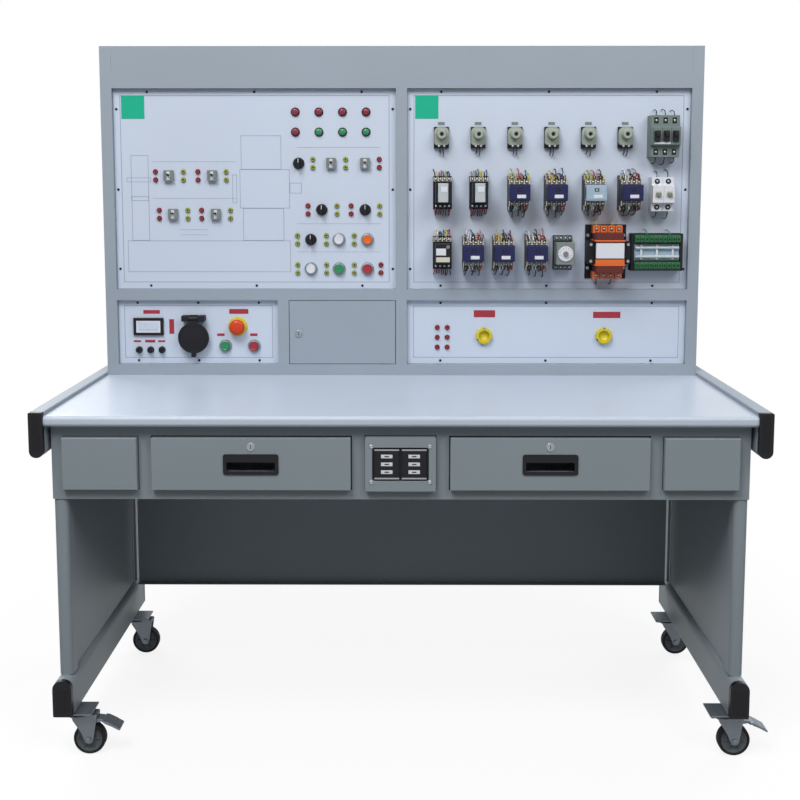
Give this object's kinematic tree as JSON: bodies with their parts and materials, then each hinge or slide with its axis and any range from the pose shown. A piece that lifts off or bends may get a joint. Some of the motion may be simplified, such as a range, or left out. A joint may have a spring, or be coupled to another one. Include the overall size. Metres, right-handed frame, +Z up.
{
  "type": "electrical skills training bench",
  "caption": "Desk on casters with drawers, an outlet bank and a switchgear cabinet of test panels, buttons, contactors and a lockable fault compartment.",
  "frame": {"origin": "on the floor, under the middle of the bench", "axes": "+X to the right, +Y to the back, +Z up; the drawers open towards -Y"},
  "size_m": [1.684, 0.76, 1.69],
  "materials": {
    "cabinet_paint": "satin powder coat",
    "desk_paint": "satin powder coat",
    "panel_paint": "satin powder coat with printed lines",
    "desk_laminate": "fine textured laminate",
    "black_plastic": "moulded",
    "grey_plastic": "moulded",
    "cream_plastic": "moulded",
    "white_plastic": "moulded",
    "navy_plastic": "moulded",
    "red_plastic": "moulded",
    "green_plastic": "moulded",
    "orange_plastic": "moulded",
    "yellow_plastic": "moulded",
    "bright_steel": "zinc plated",
    "black_rubber": "moulded rubber"
  },
  "bodies": {
    "bench": {"desk_top": "desk_laminate", "side_panel_left": "desk_paint", "side_panel_right": "desk_paint", "side_rails": "cabinet_paint", "end_caps": "black_plastic", "modesty_panel": "desk_paint", "apron": "desk_paint", "drawer_carcass": "desk_paint", "outlet_bank": "black_plastic", "cabinet_shell": "cabinet_paint", "cabinet_back": "cabinet_paint", "diagram_panel": "panel_paint", "component_panel": "panel_paint", "power_panel": "panel_paint", "output_panel": "panel_paint", "fault_tub": "cabinet_paint", "fault_board": "panel_paint", "switch_collars": "grey_plastic", "pilot_lamps": "red_plastic", "test_jacks": "red_plastic", "protection_devices": "cream_plastic", "contactors": "navy_plastic", "relays": "cream_plastic", "power_modules": "black_plastic", "panel_meter": "black_plastic", "panel_sockets": "black_plastic", "output_connectors": "yellow_plastic"},
    "fork_front_left": {"caster_fork_front_left": "bright_steel"},
    "wheel_front_left": {"caster_wheel_front_left": "black_rubber"},
    "fork_front_right": {"caster_fork_front_right": "bright_steel"},
    "wheel_front_right": {"caster_wheel_front_right": "black_rubber"},
    "fork_rear_left": {"caster_fork_rear_left": "bright_steel"},
    "wheel_rear_left": {"caster_wheel_rear_left": "black_rubber"},
    "fork_rear_right": {"caster_fork_rear_right": "bright_steel"},
    "wheel_rear_right": {"caster_wheel_rear_right": "black_rubber"},
    "pedal_left": {"brake_pedal_left": "black_plastic"},
    "drawer_left": {"drawer_left": "desk_paint"},
    "pedal_right": {"brake_pedal_right": "black_plastic"},
    "drawer_right": {"drawer_right": "desk_paint"},
    "fault_door": {"fault_door": "panel_paint"},
    "door_lock": {"door_lock": "bright_steel"},
    "socket_lid": {"socket_lid": "black_plastic"},
    "push_button_1": {"push_button_1": "white_plastic"},
    "push_button_2": {"push_button_2": "orange_plastic"},
    "push_button_3": {"push_button_3": "white_plastic"},
    "push_button_4": {"push_button_4": "green_plastic"},
    "push_button_5": {"push_button_5": "red_plastic"},
    "start_button": {"start_button": "green_plastic"},
    "stop_button": {"stop_button": "red_plastic"},
    "estop_button": {"estop_button": "red_plastic"},
    "selector_knob_1": {"selector_knob_1": "black_plastic"},
    "selector_knob_2": {"selector_knob_2": "black_plastic"},
    "selector_knob_3": {"selector_knob_3": "black_plastic"},
    "selector_knob_4": {"selector_knob_4": "black_plastic"},
    "toggle_switch_1": {"toggle_switch_1": "grey_plastic"},
    "toggle_switch_2": {"toggle_switch_2": "grey_plastic"},
    "toggle_switch_3": {"toggle_switch_3": "grey_plastic"},
    "toggle_switch_4": {"toggle_switch_4": "grey_plastic"},
    "toggle_switch_5": {"toggle_switch_5": "grey_plastic"},
    "toggle_switch_6": {"toggle_switch_6": "grey_plastic"}
  },
  "joints": [
    {"name": "caster_swivel_front_left", "type": "hinge", "parent": "bench", "child": "fork_front_left", "pos_m": [-0.752, -0.328, 0.0987], "axis": [0, 0, 1], "continuous": true},
    {"name": "wheel_spin_front_left", "type": "hinge", "parent": "fork_front_left", "child": "wheel_front_left", "pos_m": [-0.727, -0.328, 0.0375], "axis": [0, 1, 0], "continuous": true},
    {"name": "caster_swivel_front_right", "type": "hinge", "parent": "bench", "child": "fork_front_right", "pos_m": [0.752, -0.328, 0.0987], "axis": [0, 0, 1], "continuous": true},
    {"name": "wheel_spin_front_right", "type": "hinge", "parent": "fork_front_right", "child": "wheel_front_right", "pos_m": [0.777, -0.328, 0.0375], "axis": [0, 1, 0], "continuous": true},
    {"name": "caster_swivel_rear_left", "type": "hinge", "parent": "bench", "child": "fork_rear_left", "pos_m": [-0.752, 0.23, 0.0987], "axis": [0, 0, 1], "continuous": true},
    {"name": "wheel_spin_rear_left", "type": "hinge", "parent": "fork_rear_left", "child": "wheel_rear_left", "pos_m": [-0.727, 0.23, 0.0375], "axis": [0, 1, 0], "continuous": true},
    {"name": "caster_swivel_rear_right", "type": "hinge", "parent": "bench", "child": "fork_rear_right", "pos_m": [0.752, 0.23, 0.0987], "axis": [0, 0, 1], "continuous": true},
    {"name": "wheel_spin_rear_right", "type": "hinge", "parent": "fork_rear_right", "child": "wheel_rear_right", "pos_m": [0.777, 0.23, 0.0375], "axis": [0, 1, 0], "continuous": true},
    {"name": "brake_left", "type": "hinge", "parent": "fork_front_left", "child": "pedal_left", "pos_m": [-0.715, -0.328, 0.0835], "axis": [0, 1, 0], "range_deg": [0, 15]},
    {"name": "drawer_left_slide", "type": "slide", "parent": "bench", "child": "drawer_left", "axis": [0, -1, 0], "range_m": [0, 0.34]},
    {"name": "brake_right", "type": "hinge", "parent": "fork_front_right", "child": "pedal_right", "pos_m": [0.789, -0.328, 0.0835], "axis": [0, 1, 0], "range_deg": [0, 15]},
    {"name": "drawer_right_slide", "type": "slide", "parent": "bench", "child": "drawer_right", "axis": [0, -1, 0], "range_m": [0, 0.34]},
    {"name": "fault_door_hinge", "type": "hinge", "parent": "bench", "child": "fault_door", "pos_m": [-0.02, 0.175, 0.9275], "axis": [0, 0, 1], "range_deg": [0, 100]},
    {"name": "door_lock_turn", "type": "hinge", "parent": "fault_door", "child": "door_lock", "pos_m": [-0.279, 0.17, 0.9235], "axis": [0, -1, 0], "range_deg": [0, 90]},
    {"name": "socket_lid_hinge", "type": "hinge", "parent": "bench", "child": "socket_lid", "pos_m": [-0.5635, 0.1647, 0.9655], "axis": [-1, 0, 0], "range_deg": [0, 105], "stiffness_Nm_per_rad": 0.02, "springref_deg": -22.92},
    {"name": "push_button_1_press", "type": "slide", "parent": "bench", "child": "push_button_1", "axis": [0, 1, 0], "range_m": [0, 0.004], "stiffness_N_per_m": 600},
    {"name": "push_button_2_press", "type": "slide", "parent": "bench", "child": "push_button_2", "axis": [0, 1, 0], "range_m": [0, 0.004], "stiffness_N_per_m": 600},
    {"name": "push_button_3_press", "type": "slide", "parent": "bench", "child": "push_button_3", "axis": [0, 1, 0], "range_m": [0, 0.004], "stiffness_N_per_m": 600},
    {"name": "push_button_4_press", "type": "slide", "parent": "bench", "child": "push_button_4", "axis": [0, 1, 0], "range_m": [0, 0.004], "stiffness_N_per_m": 600},
    {"name": "push_button_5_press", "type": "slide", "parent": "bench", "child": "push_button_5", "axis": [0, 1, 0], "range_m": [0, 0.004], "stiffness_N_per_m": 600},
    {"name": "start_button_press", "type": "slide", "parent": "bench", "child": "start_button", "axis": [0, 1, 0], "range_m": [0, 0.004], "stiffness_N_per_m": 600},
    {"name": "stop_button_press", "type": "slide", "parent": "bench", "child": "stop_button", "axis": [0, 1, 0], "range_m": [0, 0.004], "stiffness_N_per_m": 600},
    {"name": "estop_press", "type": "slide", "parent": "bench", "child": "estop_button", "axis": [0, 1, 0], "range_m": [0, 0.005]},
    {"name": "selector_1_turn", "type": "hinge", "parent": "bench", "child": "selector_knob_1", "pos_m": [-0.2755, 0.184, 1.3825], "axis": [0, 1, 0], "range_deg": [0, 90]},
    {"name": "selector_2_turn", "type": "hinge", "parent": "bench", "child": "selector_knob_2", "pos_m": [-0.2145, 0.184, 1.2585], "axis": [0, 1, 0], "range_deg": [0, 90]},
    {"name": "selector_3_turn", "type": "hinge", "parent": "bench", "child": "selector_knob_3", "pos_m": [-0.0975, 0.184, 1.2585], "axis": [0, 1, 0], "range_deg": [0, 90]},
    {"name": "selector_4_turn", "type": "hinge", "parent": "bench", "child": "selector_knob_4", "pos_m": [-0.2445, 0.184, 1.1785], "axis": [0, 1, 0], "range_deg": [0, 90]},
    {"name": "toggle_1_flip", "type": "hinge", "parent": "bench", "child": "toggle_switch_1", "pos_m": [-0.6245, 0.178, 1.3495], "axis": [1, 0, 0], "range_deg": [0, 24]},
    {"name": "toggle_2_flip", "type": "hinge", "parent": "bench", "child": "toggle_switch_2", "pos_m": [-0.5075, 0.178, 1.3495], "axis": [1, 0, 0], "range_deg": [0, 24]},
    {"name": "toggle_3_flip", "type": "hinge", "parent": "bench", "child": "toggle_switch_3", "pos_m": [-0.6145, 0.178, 1.2465], "axis": [1, 0, 0], "range_deg": [0, 24]},
    {"name": "toggle_4_flip", "type": "hinge", "parent": "bench", "child": "toggle_switch_4", "pos_m": [-0.4995, 0.178, 1.2465], "axis": [1, 0, 0], "range_deg": [0, 24]},
    {"name": "toggle_5_flip", "type": "hinge", "parent": "bench", "child": "toggle_switch_5", "pos_m": [-0.1885, 0.178, 1.3825], "axis": [1, 0, 0], "range_deg": [0, 24]},
    {"name": "toggle_6_flip", "type": "hinge", "parent": "bench", "child": "toggle_switch_6", "pos_m": [-0.0975, 0.178, 1.3825], "axis": [1, 0, 0], "range_deg": [0, 24]}
  ]
}
